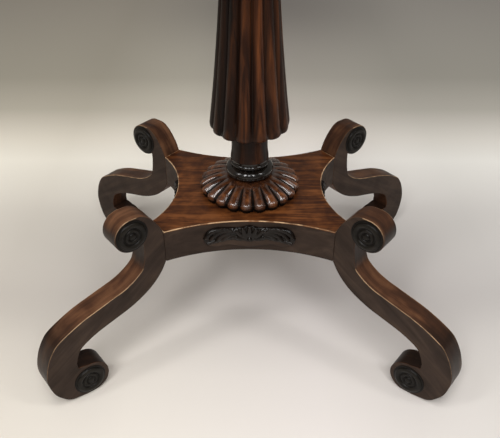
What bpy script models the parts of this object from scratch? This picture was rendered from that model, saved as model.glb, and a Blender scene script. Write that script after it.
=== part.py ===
"""Pedestal occasional table with a tip-up top.

Metres, +Z up, origin on the floor under the column, front towards -Y.
"""
import math

import bmesh
import bpy
from mathutils import Vector

# Fits
FIT_GAP = 0.0003
RUNNING_GAP = 0.0005

# Top board
TABLE_HEIGHT = 0.730
TOP_LENGTH = 0.620
TOP_WIDTH = 0.490
TOP_THICKNESS = 0.022
TOP_CORNER_RADIUS = 0.045
TOP_EDGE_ROUND = 0.007

# Block on the column and the bearers under the top
BLOCK_SIDE = 0.140
BLOCK_THICKNESS = 0.032
BEARER_LENGTH = 0.380
BEARER_WIDTH = 0.024
BEARER_DEPTH = 0.036
BEARER_END_DEPTH = 0.016
BEARER_END_SLOPE = 0.060
PIVOT_RADIUS = 0.005
PIVOT_INSERT = 0.022
PIVOT_HEAD_RADIUS = 0.008
PIVOT_HEAD_THICKNESS = 0.003

# Screws that hold the bearers
SCREW_SPACING = 0.115
SCREW_RADIUS = 0.0024
SCREW_BITE = 0.012
SCREW_HEAD_RADIUS = 0.0046
SCREW_HEAD_THICKNESS = 0.003
SCREW_SINK = 0.014

# Brass slide bolt that locks the top down
STRIKE_WIDTH = 0.030
STRIKE_HEIGHT = 0.018
STRIKE_THICKNESS = 0.0015
BOLT_CASE_WIDTH = 0.046
BOLT_CASE_LENGTH = 0.036
BOLT_CASE_DEPTH = 0.022
BOLT_SWING_GAP = 0.002
BOLT_RADIUS = 0.004
BOLT_REACH = 0.008
BOLT_KNOB_RADIUS = 0.0075
BOLT_KNOB_LENGTH = 0.012

# Column
COLUMN_TENON_RADIUS = 0.015
BLOCK_TENON_RADIUS = 0.014
BLOCK_TENON_LENGTH = 0.024
CAPITAL_RADIUS = 0.045
CAPITAL_HEIGHT = 0.0354
WAIST_RADIUS = 0.024
WIDEST_RADIUS = 0.047
WIDEST_RISE = 0.012
NECK_RADIUS = 0.0216
NECK_LENGTH = 0.0352
FLARE_POWER = 2.02
REED_COUNT = 14
REED_DEPTH = 0.0055
REED_TURN_DEG = 4.5
POINTS_PER_REED = 4

# Wedge in the foot of the column
WEDGE_WIDTH = 0.022
WEDGE_LENGTH = 0.026
WEDGE_THIN_END = 0.0024
WEDGE_THICK_END = 0.0040

# Ring and gadrooned collar
RING_RADIUS = 0.0292
RING_BEAD_RADIUS = 0.0238
RING_ROLL_RADIUS = 0.0072
RING_HEIGHT = 0.0225
COLLAR_RADIUS = 0.0615
COLLAR_HEIGHT = 0.022
COLLAR_TOP_RADIUS = 0.029
GADROON_COUNT = 22
GADROON_TURN_DEG = -3.9
GADROON_DEPTH = 0.0035
POINTS_PER_GADROON = 4

# Platform, wider than it is deep
PLATFORM_HEIGHT = 0.1834
PLATFORM_THICKNESS = 0.042
PLATFORM_HALF_CHORD = 0.097
FRONT_APOTHEM = 0.0731
SIDE_APOTHEM = 0.090
VENEER_THICKNESS = 0.0015
# keeps the tenon hole's facets off the dowels' centre lines
TENON_HOLE_TURN_DEG = 5

# Carved tablets on the platform's hollow sides
FRONT_TABLET_HALF_LENGTH = 0.055
SIDE_TABLET_HALF_LENGTH = 0.036
TABLET_HALF_HEIGHT = 0.016
TABLET_THICKNESS = 0.006
TABLET_DROP = 0.0215

# Scroll legs
LEG_TURN_DEG = 38.75
LEG_THICKNESS = 0.0275
LEG_REACH = 0.165
STEM_DEPTH = 0.0256
VOLUTE_RADIUS = 0.021
VOLUTE_OUT = 0.0392
VOLUTE_RISE = 0.0131
FOOT_VOLUTE_RADIUS = 0.0227
FOOT_VOLUTE_OUT = 0.115
FOOT_ROUNDEL_OUT = 0.117
FOOT_FLAT_CUT = 0.001
ROUNDEL_RADIUS = 0.0175
ROUNDEL_HEIGHT = 0.003
DOWEL_RADIUS = 0.005
DOWEL_LENGTH = 0.036
DOWEL_PITCH = 0.017
DOWEL_EDGE = 0.011

# Heights that follow from the sizes above
TOP_UNDERSIDE = TABLE_HEIGHT - TOP_THICKNESS
BLOCK_TOP = TOP_UNDERSIDE - FIT_GAP
BLOCK_BOTTOM = BLOCK_TOP - BLOCK_THICKNESS
COLUMN_TOP = BLOCK_BOTTOM - FIT_GAP
PLATFORM_BOTTOM = PLATFORM_HEIGHT - PLATFORM_THICKNESS
COLLAR_BASE = PLATFORM_HEIGHT + FIT_GAP
RING_BASE = COLLAR_BASE + COLLAR_HEIGHT + FIT_GAP
COLUMN_SHOULDER = RING_BASE + RING_HEIGHT + FIT_GAP
REEDS_BOTTOM = COLUMN_SHOULDER + NECK_LENGTH
WIDEST_HEIGHT = REEDS_BOTTOM + WIDEST_RISE
REEDS_TOP = COLUMN_TOP - CAPITAL_HEIGHT

# Places that follow from the sizes above
LEG_COS = math.cos(math.radians(LEG_TURN_DEG))
LEG_SIN = math.sin(math.radians(LEG_TURN_DEG))
CORNER_DISTANCE = (PLATFORM_HALF_CHORD + LEG_THICKNESS / 2 * LEG_SIN) / LEG_COS
SIDE_HALF_CHORD = CORNER_DISTANCE * LEG_SIN - LEG_THICKNESS / 2 * LEG_COS
FRONT_SAGITTA = CORNER_DISTANCE * LEG_SIN + LEG_THICKNESS / 2 * LEG_COS - FRONT_APOTHEM
SIDE_SAGITTA = CORNER_DISTANCE * LEG_COS + LEG_THICKNESS / 2 * LEG_SIN - SIDE_APOTHEM
FRONT_RADIUS = (PLATFORM_HALF_CHORD ** 2 + FRONT_SAGITTA ** 2) / (2 * FRONT_SAGITTA)
SIDE_RADIUS = (SIDE_HALF_CHORD ** 2 + SIDE_SAGITTA ** 2) / (2 * SIDE_SAGITTA)
PIVOT_DROP = BLOCK_THICKNESS / 2
PIVOT_Y = BLOCK_SIDE / 2 - PIVOT_DROP
PIVOT_Z = BLOCK_TOP - PIVOT_DROP
BEARER_X = BLOCK_SIDE / 2 + RUNNING_GAP + BEARER_WIDTH / 2
BOLT_Z = TOP_UNDERSIDE - FIT_GAP - BOLT_CASE_DEPTH / 2
BOLT_CASE_BACK = BLOCK_SIDE / 2 + FIT_GAP + STRIKE_THICKNESS + BOLT_SWING_GAP
BOLT_CASE_FRONT = BOLT_CASE_BACK + BOLT_CASE_LENGTH
BOLT_TRAVEL = BOLT_CASE_BACK - BLOCK_SIDE / 2 + BOLT_REACH
LEG_NAMES = {"front_right": -LEG_TURN_DEG, "back_right": LEG_TURN_DEG,
             "back_left": 180 - LEG_TURN_DEG, "front_left": 180 + LEG_TURN_DEG}
# each hollow side: its turn, half chord, apothem, radius and its tablet's half length
LONG_SIDE = (PLATFORM_HALF_CHORD, FRONT_APOTHEM, FRONT_RADIUS, FRONT_TABLET_HALF_LENGTH)
SHORT_SIDE = (SIDE_HALF_CHORD, SIDE_APOTHEM, SIDE_RADIUS, SIDE_TABLET_HALF_LENGTH)
SIDES = {"front": (0, LONG_SIDE), "right": (90, SHORT_SIDE),
         "back": (180, LONG_SIDE), "left": (270, SHORT_SIDE)}


# Scene set-up

for old in list(bpy.data.objects):
    bpy.data.objects.remove(old, do_unlink=True)

parts = bpy.data.collections.new("occasional_table")
cutters = bpy.data.collections.new("cutters")
for group in (parts, cutters):
    bpy.context.scene.collection.children.link(group)


def make_material(name, colour, roughness, metallic=0.0):
    material = bpy.data.materials.new(name)
    material.use_nodes = True
    shader = material.node_tree.nodes["Principled BSDF"]
    shader.inputs["Base Color"].default_value = (*colour, 1)
    shader.inputs["Roughness"].default_value = roughness
    shader.inputs["Metallic"].default_value = metallic
    return material


ROSEWOOD = make_material("rosewood", (0.070, 0.030, 0.018), 0.30)
VENEER = make_material("rosewood_veneer", (0.120, 0.045, 0.020), 0.28)
EBONISED = make_material("ebonised_carving", (0.020, 0.015, 0.012), 0.25)
MAHOGANY = make_material("mahogany", (0.110, 0.040, 0.018), 0.45)
BEECH = make_material("beech", (0.420, 0.260, 0.140), 0.60)
BRASS = make_material("brass", (0.560, 0.380, 0.130), 0.30, 1.0)
IRON = make_material("iron", (0.120, 0.115, 0.110), 0.50, 1.0)


# Modelling tools

def add_empty(name, location, turn_deg=0.0):
    empty = bpy.data.objects.new(name, None)
    empty.location = location
    empty.rotation_euler = (0, 0, math.radians(turn_deg))
    parts.objects.link(empty)
    return empty


def add_object(name, mesh, material=None, parent=None, cutter=False):
    thing = bpy.data.objects.new(name, mesh)
    (cutters if cutter else parts).objects.link(thing)
    thing.parent = parent
    if cutter:
        thing.hide_render = True
        thing.display_type = "WIRE"
    if material:
        mesh.materials.append(material)
    return thing


def baked_mesh(source):
    """Mesh of an object with its modifiers applied, welded and facing out; the source goes."""
    graph = bpy.context.evaluated_depsgraph_get()
    mesh = bpy.data.meshes.new_from_object(source.evaluated_get(graph))
    bpy.data.objects.remove(source, do_unlink=True)
    work = bmesh.new()
    work.from_mesh(mesh)
    bmesh.ops.remove_doubles(work, verts=work.verts, dist=1e-6)
    bmesh.ops.recalc_face_normals(work, faces=work.faces)
    work.to_mesh(mesh)
    work.free()
    return mesh


def flat_mesh(outline, thickness):
    """Closed outline in XY, thickened evenly to both sides along Z."""
    curve = bpy.data.curves.new("outline", "CURVE")
    curve.dimensions = "2D"
    curve.fill_mode = "BOTH"
    curve.extrude = thickness / 2
    spline = curve.splines.new("POLY")
    spline.points.add(len(outline) - 1)
    for point, (x, y) in zip(spline.points, outline):
        point.co = (x, y, 0, 1)
    spline.use_cyclic_u = True
    return baked_mesh(add_object("outline", curve))


def turned_mesh(profile, steps, closed=False):
    """Profile of (radius, height), down the outer side, turned about Z."""
    mesh = bpy.data.meshes.new("profile")
    links = [(i, i + 1) for i in range(len(profile) - 1)]
    if closed:
        links.append((len(profile) - 1, 0))
    mesh.from_pydata([(radius, 0, height) for radius, height in profile], links, [])
    screw_object = add_object("profile", mesh)
    screw = screw_object.modifiers.new("turn", "SCREW")
    screw.steps = steps
    screw.render_steps = steps
    screw.use_merge_vertices = True
    screw.merge_threshold = 0.00001
    turned = baked_mesh(screw_object)
    turned.shade_smooth()
    turned.set_sharp_from_angle(angle=math.radians(35))
    return turned


def box_mesh(size):
    mesh = bpy.data.meshes.new("box")
    work = bmesh.new()
    bmesh.ops.create_cube(work, size=1)
    bmesh.ops.scale(work, vec=size, verts=work.verts)
    work.to_mesh(mesh)
    work.free()
    return mesh


def rod_mesh(radius, length, sides=16):
    mesh = bpy.data.meshes.new("rod")
    work = bmesh.new()
    bmesh.ops.create_cone(work, cap_ends=True, segments=sides, radius1=radius, radius2=radius, depth=length)
    work.to_mesh(mesh)
    work.free()
    mesh.shade_smooth()
    mesh.set_sharp_from_angle(angle=math.radians(35))
    return mesh


def boolean(target, cutter, operation="DIFFERENCE"):
    step = target.modifiers.new(cutter.name, "BOOLEAN")
    step.operation = operation
    step.object = cutter


def arc(centre, radius, start_deg, end_deg, steps):
    angles = [math.radians(start_deg + (end_deg - start_deg) * i / steps) for i in range(steps + 1)]
    return [(centre[0] + radius * math.cos(a), centre[1] + radius * math.sin(a)) for a in angles]


def smooth(points, steps):
    """Even curve through a few points, as a Catmull-Rom spline."""
    knots = [Vector(point) for point in points]
    knots = [2 * knots[0] - knots[1]] + knots + [2 * knots[-1] - knots[-2]]
    line = []
    for a, b, c, d in zip(knots, knots[1:], knots[2:], knots[3:]):
        for i in range(steps):
            t = i / steps
            bend = (2 * a - 5 * b + 4 * c - d) * t * t + (3 * b - a - 3 * c + d) * t ** 3
            line.append(tuple((2 * b + (c - a) * t + bend) / 2))
    return line + [tuple(points[-1])]


# Platform: four hollow sides, corners cut square to the legs

def platform_outline():
    outline = []
    for turn_deg, (half_chord, apothem, radius, tablet) in SIDES.values():
        half_deg = math.degrees(math.asin(half_chord / radius))
        turn = math.radians(turn_deg)
        for x, y in arc((0, -(apothem + radius)), radius, 90 + half_deg, 90 - half_deg, 14):
            outline.append((x * math.cos(turn) - y * math.sin(turn), x * math.sin(turn) + y * math.cos(turn)))
    return outline


def add_platform():
    core_thickness = PLATFORM_THICKNESS - VENEER_THICKNESS - FIT_GAP
    core = add_object("platform", flat_mesh(platform_outline(), core_thickness), ROSEWOOD)
    core.location.z = PLATFORM_BOTTOM + core_thickness / 2
    veneer = add_object("platform_top_veneer", flat_mesh(platform_outline(), VENEER_THICKNESS), VENEER)
    veneer.location.z = PLATFORM_HEIGHT - VENEER_THICKNESS / 2
    hole_mesh = rod_mesh(COLUMN_TENON_RADIUS + FIT_GAP, PLATFORM_THICKNESS * 1.5, 32)
    hole = add_object("tenon_hole", hole_mesh, cutter=True)
    hole.location.z = PLATFORM_HEIGHT - PLATFORM_THICKNESS / 2
    hole.rotation_euler.z = math.radians(TENON_HOLE_TURN_DEG)
    boolean(core, hole)
    boolean(veneer, hole)
    return core


# Carved tablets: a shaped plaque bent to the hollow side

def tablet_outline(half_length):
    upper = [(1.0, 0.05), (0.92, 0.62), (0.74, 0.92), (0.46, 0.88), (0.22, 0.82), (0.0, 1.0)]
    lower = [(0.0, -1.0), (0.2, -0.88), (0.45, -0.72), (0.74, -0.78), (0.93, -0.50), (1.0, 0.05)]
    half = smooth(upper, 3)[:-1] + [(-x, y) for x, y in reversed(smooth(upper, 3)[1:])]
    half += [(-x, y) for x, y in reversed(smooth(lower, 3)[1:])] + smooth(lower, 3)[:-1]
    return [(x * half_length, y * TABLET_HALF_HEIGHT) for x, y in half]


def add_tablets():
    height = 4 * TABLET_HALF_HEIGHT
    for side, (turn_deg, (half_chord, apothem, radius, half_length)) in SIDES.items():
        outer_radius = radius - FIT_GAP
        inner_radius = outer_radius - TABLET_THICKNESS
        band = [(outer_radius, height / 2), (outer_radius, -height / 2),
                (inner_radius, -height / 2), (inner_radius, height / 2)]
        frame = add_empty("side_" + side, (0, 0, PLATFORM_HEIGHT - TABLET_DROP), turn_deg)
        plaque_mesh = flat_mesh(tablet_outline(half_length), half_length)
        plaque = add_object("carved_tablet_" + side, plaque_mesh, EBONISED, parent=frame)
        plaque.location.y = -apothem
        plaque.rotation_euler.x = math.radians(90)
        bend = add_object("tablet_bend_" + side, turned_mesh(band, 96, closed=True), parent=frame, cutter=True)
        bend.location.y = -(apothem + radius)
        boolean(plaque, bend, "INTERSECT")


# Legs: one S-scroll outline with a volute at each end

def spread(shares, width, base, height):
    """Points from shares of a width, and of a height above a base."""
    return [(width * across, base + height * up) for across, up in shares]


def leg_outline():
    """Side view of a leg: out from the platform's corner, and height."""
    roll_height = PLATFORM_HEIGHT + VOLUTE_RISE
    crown = spread([(0, 0), (0.030, 0.337), (0.073, 0.645), (0.121, 0.880), (0.164, 0.982), (0.205, 1.0)],
                   LEG_REACH, PLATFORM_HEIGHT, VOLUTE_RISE + VOLUTE_RADIUS)
    roll = arc((VOLUTE_OUT, roll_height), VOLUTE_RADIUS, 85, -130, 18)
    stem = [(STEM_DEPTH, PLATFORM_BOTTOM + 0.745 * PLATFORM_THICKNESS)]
    stem += spread([(0.164, 0.419), (0.176, 0.205), (0.200, 0.029), (0.273, -0.188), (0.359, -0.343)],
                   LEG_REACH, PLATFORM_BOTTOM, PLATFORM_THICKNESS)
    stem += spread([(0.515, 0.848), (0.691, 0.788), (0.859, 0.694), (0.924, 0.619), (0.974, 0.503),
                    (1.000, 0.355), (0.975, 0.191), (0.925, 0.091), (0.867, 0.030), (0.752, 0.000)],
                   LEG_REACH, 0, PLATFORM_BOTTOM)
    foot_height = FOOT_VOLUTE_RADIUS - FOOT_FLAT_CUT
    flat_deg = 180 + math.degrees(math.asin(foot_height / FOOT_VOLUTE_RADIUS))
    foot = arc((FOOT_VOLUTE_OUT, foot_height), FOOT_VOLUTE_RADIUS, flat_deg, 90, 14)
    foot += spread([(0.745, 2.05), (0.773, 2.07)], LEG_REACH, 0, FOOT_VOLUTE_RADIUS)
    under = spread([(0.777, 2.40)], LEG_REACH, 0, FOOT_VOLUTE_RADIUS)
    under += spread([(0.757, 0.458), (0.718, 0.529), (0.604, 0.599), (0.458, 0.651), (0.327, 0.694),
                     (0.212, 0.752), (0.119, 0.824), (0.048, 0.910), (0, 1.0)],
                    LEG_REACH, 0, PLATFORM_BOTTOM)
    return smooth(crown, 2) + roll + smooth(stem, 2) + foot + smooth(under, 2)


def roundel_mesh():
    rings = [(0.0, 1.0), (0.22, 0.80), (0.34, 0.45), (0.46, 0.85), (0.60, 0.45),
             (0.80, 1.0), (1.0, 0.4), (1.0, 0.0), (0.0, 0.0)]
    mesh = turned_mesh([(ROUNDEL_RADIUS * radius, ROUNDEL_HEIGHT * height) for radius, height in rings], 14)
    mesh.materials.append(EBONISED)
    return mesh


def add_legs(platform):
    leg_mesh = flat_mesh(leg_outline(), LEG_THICKNESS)
    leg_mesh.materials.append(ROSEWOOD)
    roundel = roundel_mesh()
    dowel_mesh = rod_mesh(DOWEL_RADIUS, DOWEL_LENGTH, 12)
    dowel_mesh.materials.append(BEECH)
    socket_mesh = rod_mesh(DOWEL_RADIUS + FIT_GAP, DOWEL_LENGTH + 2 * FIT_GAP, 12)
    eyes = {"top": (VOLUTE_OUT, PLATFORM_HEIGHT + VOLUTE_RISE),
            "foot": (FOOT_ROUNDEL_OUT, FOOT_VOLUTE_RADIUS - FOOT_FLAT_CUT)}
    lower_dowel = PLATFORM_BOTTOM + DOWEL_EDGE
    dowel_heights = {"lower": lower_dowel, "upper": lower_dowel + DOWEL_PITCH}
    for corner, turn_deg in LEG_NAMES.items():
        turn = math.radians(turn_deg)
        reach = CORNER_DISTANCE + FIT_GAP
        frame = add_empty("corner_" + corner, (reach * math.cos(turn), reach * math.sin(turn), 0), turn_deg)
        leg = add_object("leg_" + corner, leg_mesh, parent=frame)
        leg.rotation_euler.x = math.radians(90)
        for level, height in dowel_heights.items():
            name = f"dowel_{corner}_{level}"
            dowel = add_object(name, dowel_mesh, parent=frame)
            socket = add_object(name + "_socket", socket_mesh, parent=frame, cutter=True)
            for rod in (dowel, socket):
                rod.location = (0, 0, height)
                rod.rotation_euler.y = math.radians(90)
            boolean(leg, socket)
            boolean(platform, socket)
        for end, (out, height) in eyes.items():
            for face, side in (("left", -1), ("right", 1)):
                disc = add_object(f"roundel_{corner}_{end}_{face}", roundel, parent=frame)
                disc.location = (out, side * (LEG_THICKNESS / 2 + FIT_GAP), height)
                disc.rotation_euler.x = math.radians(-90 * side)


# Turned ring and gadrooned collar round the foot of the column

def add_ring():
    bore = COLUMN_TENON_RADIUS + FIT_GAP
    bead = spread([(0.96, 1.0), (1.0, 0.895), (0.96, 0.79), (0.92, 0.70)], RING_BEAD_RADIUS, 0, RING_HEIGHT)
    roll = arc((RING_RADIUS - RING_ROLL_RADIUS, RING_ROLL_RADIUS), RING_ROLL_RADIUS, 70, -90, 8)
    profile = [(bore, RING_HEIGHT)] + bead + roll + [(bore, 0)]
    ring = add_object("neck_ring", turned_mesh(profile, 32, closed=True), EBONISED)
    ring.location.z = RING_BASE


def lobe_depth(angle, count, turn):
    """0 on a lobe's crest, 1 in the valley between two lobes, round in between."""
    share = ((angle - turn) * count / (2 * math.pi)) % 1.0
    across = 2 * share - 1
    return 1 - math.sqrt(max(0.0, 1 - across * across))


def add_collar():
    bore = COLUMN_TENON_RADIUS + FIT_GAP
    dome = spread([(0.62, 0.955), (0.78, 0.82), (0.90, 0.66), (0.975, 0.53), (1.0, 0.41),
                   (0.995, 0.24), (0.955, 0)], COLLAR_RADIUS, 0, COLLAR_HEIGHT)
    profile = [(bore, COLLAR_HEIGHT), (COLLAR_TOP_RADIUS, COLLAR_HEIGHT)] + dome + [(bore, 0)]
    mesh = turned_mesh(profile, GADROON_COUNT * POINTS_PER_GADROON, closed=True)
    for vertex in mesh.vertices:
        radius = math.hypot(vertex.co.x, vertex.co.y)
        outward = (radius - COLLAR_TOP_RADIUS) / (COLLAR_RADIUS - COLLAR_TOP_RADIUS)
        cut = GADROON_DEPTH * max(0.0, outward)
        cut *= lobe_depth(math.atan2(vertex.co.y, vertex.co.x), GADROON_COUNT, math.radians(GADROON_TURN_DEG))
        vertex.co.x *= 1 - cut / radius
        vertex.co.y *= 1 - cut / radius
    collar = add_object("gadrooned_collar", mesh, EBONISED)
    collar.location.z = COLLAR_BASE


# Column: turned, then reeded along its flare

def flare_radius(height):
    share = (REEDS_TOP - height) / (REEDS_TOP - WIDEST_HEIGHT)
    return WAIST_RADIUS + (WIDEST_RADIUS - WAIST_RADIUS) * share ** FLARE_POWER


def reed_fade(height):
    """Full reeds along the flare, running out at the neck and under the capital."""
    low = (height - REEDS_BOTTOM) / (0.10 * WIDEST_RISE)
    high = (REEDS_TOP - height) / WAIST_RADIUS
    return max(0.0, min(1.0, low, high))


def add_column():
    tenon_end = COLUMN_TOP + BLOCK_TENON_LENGTH
    waist = WAIST_RADIUS
    profile = [(0, tenon_end), (BLOCK_TENON_RADIUS, tenon_end), (BLOCK_TENON_RADIUS, COLUMN_TOP)]
    profile += [(CAPITAL_RADIUS, COLUMN_TOP), (CAPITAL_RADIUS, COLUMN_TOP - CAPITAL_HEIGHT * 0.22)]
    profile += [(CAPITAL_RADIUS * 0.88, COLUMN_TOP - CAPITAL_HEIGHT * 0.45)]
    profile += [(waist * 1.30, COLUMN_TOP - CAPITAL_HEIGHT * 0.58)]
    profile += [(waist * 1.20, COLUMN_TOP - CAPITAL_HEIGHT * 0.72)]
    profile += [(waist, COLUMN_TOP - CAPITAL_HEIGHT * 0.80)]
    rows = 7
    for i in range(rows + 1):
        height = REEDS_TOP + (WIDEST_HEIGHT - REEDS_TOP) * i / rows
        profile.append((flare_radius(height), height))
    underside = [(0.972, 0.58), (0.89, 0.40), (0.744, 0.267), (0.41, 0.108), (0.0, 0.0)]
    for out, up in underside:
        profile.append((NECK_RADIUS + (WIDEST_RADIUS - NECK_RADIUS) * out, REEDS_BOTTOM + WIDEST_RISE * up))
    profile += [(NECK_RADIUS, COLUMN_SHOULDER), (COLUMN_TENON_RADIUS, COLUMN_SHOULDER)]
    profile += [(COLUMN_TENON_RADIUS, PLATFORM_BOTTOM), (0, PLATFORM_BOTTOM)]
    mesh = turned_mesh(profile, REED_COUNT * POINTS_PER_REED)
    front_valley = math.radians(-90 + REED_TURN_DEG)
    for vertex in mesh.vertices:
        radius = math.hypot(vertex.co.x, vertex.co.y)
        cut = REED_DEPTH * reed_fade(vertex.co.z) * radius / WIDEST_RADIUS
        cut *= lobe_depth(math.atan2(vertex.co.y, vertex.co.x), REED_COUNT, front_valley)
        if cut > 0:
            vertex.co.x *= 1 - cut / radius
            vertex.co.y *= 1 - cut / radius
    column = add_object("column", mesh, ROSEWOOD)
    add_wedge(column)


def wedge_outline(clearance):
    thick = WEDGE_THICK_END / 2 + clearance
    thin = WEDGE_THIN_END / 2 + clearance
    tip = WEDGE_LENGTH + clearance
    return [(-thick, -clearance), (thick, -clearance), (thin, tip), (-thin, tip)]


def add_wedge(column):
    wedge = add_object("tenon_wedge", flat_mesh(wedge_outline(0), WEDGE_WIDTH), BEECH)
    slot_mesh = flat_mesh(wedge_outline(FIT_GAP), 3 * COLUMN_TENON_RADIUS)
    slot = add_object("wedge_slot", slot_mesh, cutter=True)
    for piece in (wedge, slot):
        piece.location.z = PLATFORM_BOTTOM
        piece.rotation_euler.x = math.radians(90)
    boolean(column, slot)


# Block on top of the column, its back edge rounded about the pivot

def add_block():
    half = BLOCK_SIDE / 2
    nose = arc((PIVOT_Y, PIVOT_DROP), PIVOT_DROP, 0, 90, 8)
    outline = [(-half, 0), (half, 0)] + nose + [(-half, BLOCK_THICKNESS)]
    block = add_object("tilt_block", flat_mesh(outline, BLOCK_SIDE), MAHOGANY)
    block.location.z = BLOCK_BOTTOM
    block.rotation_euler = (math.radians(90), 0, math.radians(90))
    socket_mesh = rod_mesh(BLOCK_TENON_RADIUS + FIT_GAP, 2 * (BLOCK_TENON_LENGTH + FIT_GAP), 28)
    socket = add_object("block_tenon_socket", socket_mesh, cutter=True)
    socket.location.z = COLUMN_TOP
    boolean(block, socket)
    keeper_mesh = rod_mesh(BOLT_RADIUS + RUNNING_GAP, 2 * (BOLT_REACH + RUNNING_GAP))
    keeper = add_object("bolt_keeper", keeper_mesh, cutter=True)
    keeper.location = (0, -half, BOLT_Z)
    keeper.rotation_euler.x = math.radians(90)
    boolean(block, keeper)
    strike = add_object("strike_plate", box_mesh((STRIKE_WIDTH, STRIKE_THICKNESS, STRIKE_HEIGHT)), BRASS)
    strike.location = (0, -(half + FIT_GAP + STRIKE_THICKNESS / 2), BOLT_Z)
    boolean(strike, keeper)
    return block


# Tip-up top with its bearers, screws and pivots

def top_outline():
    half_x = TOP_LENGTH / 2 - TOP_CORNER_RADIUS
    half_y = TOP_WIDTH / 2 - TOP_CORNER_RADIUS
    corners = ((half_x, half_y, 0), (-half_x, half_y, 90), (-half_x, -half_y, 180), (half_x, -half_y, 270))
    outline = []
    for x, y, start_deg in corners:
        outline += arc((x, y), TOP_CORNER_RADIUS, start_deg, start_deg + 90, 6)
    return outline


def bearer_outline():
    half = BEARER_LENGTH / 2
    step = BEARER_DEPTH - BEARER_END_DEPTH
    return [(-half, 0), (-half, -BEARER_END_DEPTH), (-half + BEARER_END_SLOPE, -BEARER_END_DEPTH - step),
            (half - BEARER_END_SLOPE, -BEARER_END_DEPTH - step), (half, -BEARER_END_DEPTH), (half, 0)]


def screw_mesh(clearance):
    """Screw pointing up, its head's underside at height zero; with a clearance it is the hole."""
    shank = SCREW_RADIUS + clearance
    head = SCREW_HEAD_RADIUS + clearance
    tip = BEARER_DEPTH - SCREW_SINK + FIT_GAP + SCREW_BITE + clearance
    drop = SCREW_HEAD_THICKNESS if clearance == 0 else SCREW_SINK * 1.5
    profile = [(0, tip), (shank * 0.4, tip), (shank, tip - 2 * SCREW_RADIUS), (shank, clearance)]
    profile += [(head, clearance), (head, -drop), (0, -drop)]
    return turned_mesh(profile, 12)


def add_top(block):
    hinge = add_empty("top_hinge", (0, PIVOT_Y, PIVOT_Z))
    board = add_object("top_board", flat_mesh(top_outline(), TOP_THICKNESS), VENEER, hinge)
    board.location = (0, -PIVOT_Y, TABLE_HEIGHT - TOP_THICKNESS / 2 - PIVOT_Z)
    edge = board.modifiers.new("edge_round", "BEVEL")
    edge.width = TOP_EDGE_ROUND
    edge.segments = 2
    edge.limit_method = "ANGLE"
    edge.angle_limit = math.radians(40)
    bearer_mesh = flat_mesh(bearer_outline(), BEARER_WIDTH)
    bearer_mesh.materials.append(MAHOGANY)
    screw = screw_mesh(0)
    screw.materials.append(IRON)
    screw_hole = screw_mesh(FIT_GAP)
    pin_length = PIVOT_INSERT + RUNNING_GAP + BEARER_WIDTH + FIT_GAP
    bore_mesh = rod_mesh(PIVOT_RADIUS + FIT_GAP, 2 * pin_length)
    pin_profile = [(0, PIVOT_HEAD_THICKNESS), (PIVOT_HEAD_RADIUS, PIVOT_HEAD_THICKNESS)]
    pin_profile += [(PIVOT_HEAD_RADIUS, 0), (PIVOT_RADIUS, 0), (PIVOT_RADIUS, -pin_length), (0, -pin_length)]
    pin_mesh = turned_mesh(pin_profile, 16)
    pin_mesh.materials.append(BRASS)
    for side_name, side in (("left", -1), ("right", 1)):
        bearer = add_object("bearer_" + side_name, bearer_mesh, parent=hinge)
        bearer.location = (side * BEARER_X, -PIVOT_Y, BLOCK_TOP - PIVOT_Z)
        bearer.rotation_euler = (math.radians(90), 0, math.radians(90))
        pin = add_object("pivot_" + side_name, pin_mesh, parent=hinge)
        pin.location.x = side * (BEARER_X + BEARER_WIDTH / 2 + FIT_GAP)
        pin.rotation_euler.y = math.radians(90 * side)
        bore = add_object("pivot_bore_" + side_name, bore_mesh, parent=hinge, cutter=True)
        bore.location.x = side * (BEARER_X + BEARER_WIDTH / 2)
        bore.rotation_euler.y = math.radians(90)
        boolean(bearer, bore)
        boolean(block, bore)
        for number, along in (("front", -1), ("middle", 0), ("back", 1)):
            name = f"bearer_screw_{side_name}_{number}"
            place = (side * BEARER_X, along * SCREW_SPACING - PIVOT_Y,
                     BLOCK_TOP - BEARER_DEPTH + SCREW_SINK - PIVOT_Z)
            fastener = add_object(name, screw, parent=hinge)
            hole = add_object(name + "_hole", screw_hole, parent=hinge, cutter=True)
            fastener.location = place
            hole.location = place
            boolean(bearer, hole)
            boolean(board, hole)
    add_bolt(hinge)


# Slide bolt under the front of the top, drawn back at rest

def add_bolt(hinge):
    case_mesh = box_mesh((BOLT_CASE_WIDTH, BOLT_CASE_LENGTH, BOLT_CASE_DEPTH))
    case = add_object("bolt_case", case_mesh, BRASS, hinge)
    case.location = (0, -(BOLT_CASE_BACK + BOLT_CASE_LENGTH / 2) - PIVOT_Y, BOLT_Z - PIVOT_Z)
    slide = add_empty("bolt_slide", (0, -PIVOT_Y, BOLT_Z - PIVOT_Z))
    slide.parent = hinge
    bore_mesh = rod_mesh(BOLT_RADIUS + RUNNING_GAP, 2 * BOLT_CASE_LENGTH)
    bore = add_object("bolt_bore", bore_mesh, parent=slide, cutter=True)
    bore.location.y = -(BOLT_CASE_BACK + BOLT_CASE_LENGTH / 2)
    boolean(case, bore)
    tip = BOLT_CASE_BACK
    knob_back = BOLT_CASE_FRONT + FIT_GAP + BOLT_TRAVEL
    knob_front = knob_back + BOLT_KNOB_LENGTH
    waist = BOLT_KNOB_RADIUS * 0.75
    profile = [(0, knob_front), (BOLT_KNOB_RADIUS * 0.7, knob_front),
               (BOLT_KNOB_RADIUS, knob_front - BOLT_KNOB_LENGTH * 0.3),
               (waist, knob_back + BOLT_KNOB_LENGTH * 0.2), (waist, knob_back), (BOLT_RADIUS, knob_back),
               (BOLT_RADIUS, tip + BOLT_RADIUS / 2), (BOLT_RADIUS / 2, tip), (0, tip)]
    bolt = add_object("slide_bolt", turned_mesh(profile, 16), BRASS, slide)
    for piece in (bolt, bore):
        piece.rotation_euler.x = math.radians(90)


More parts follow.
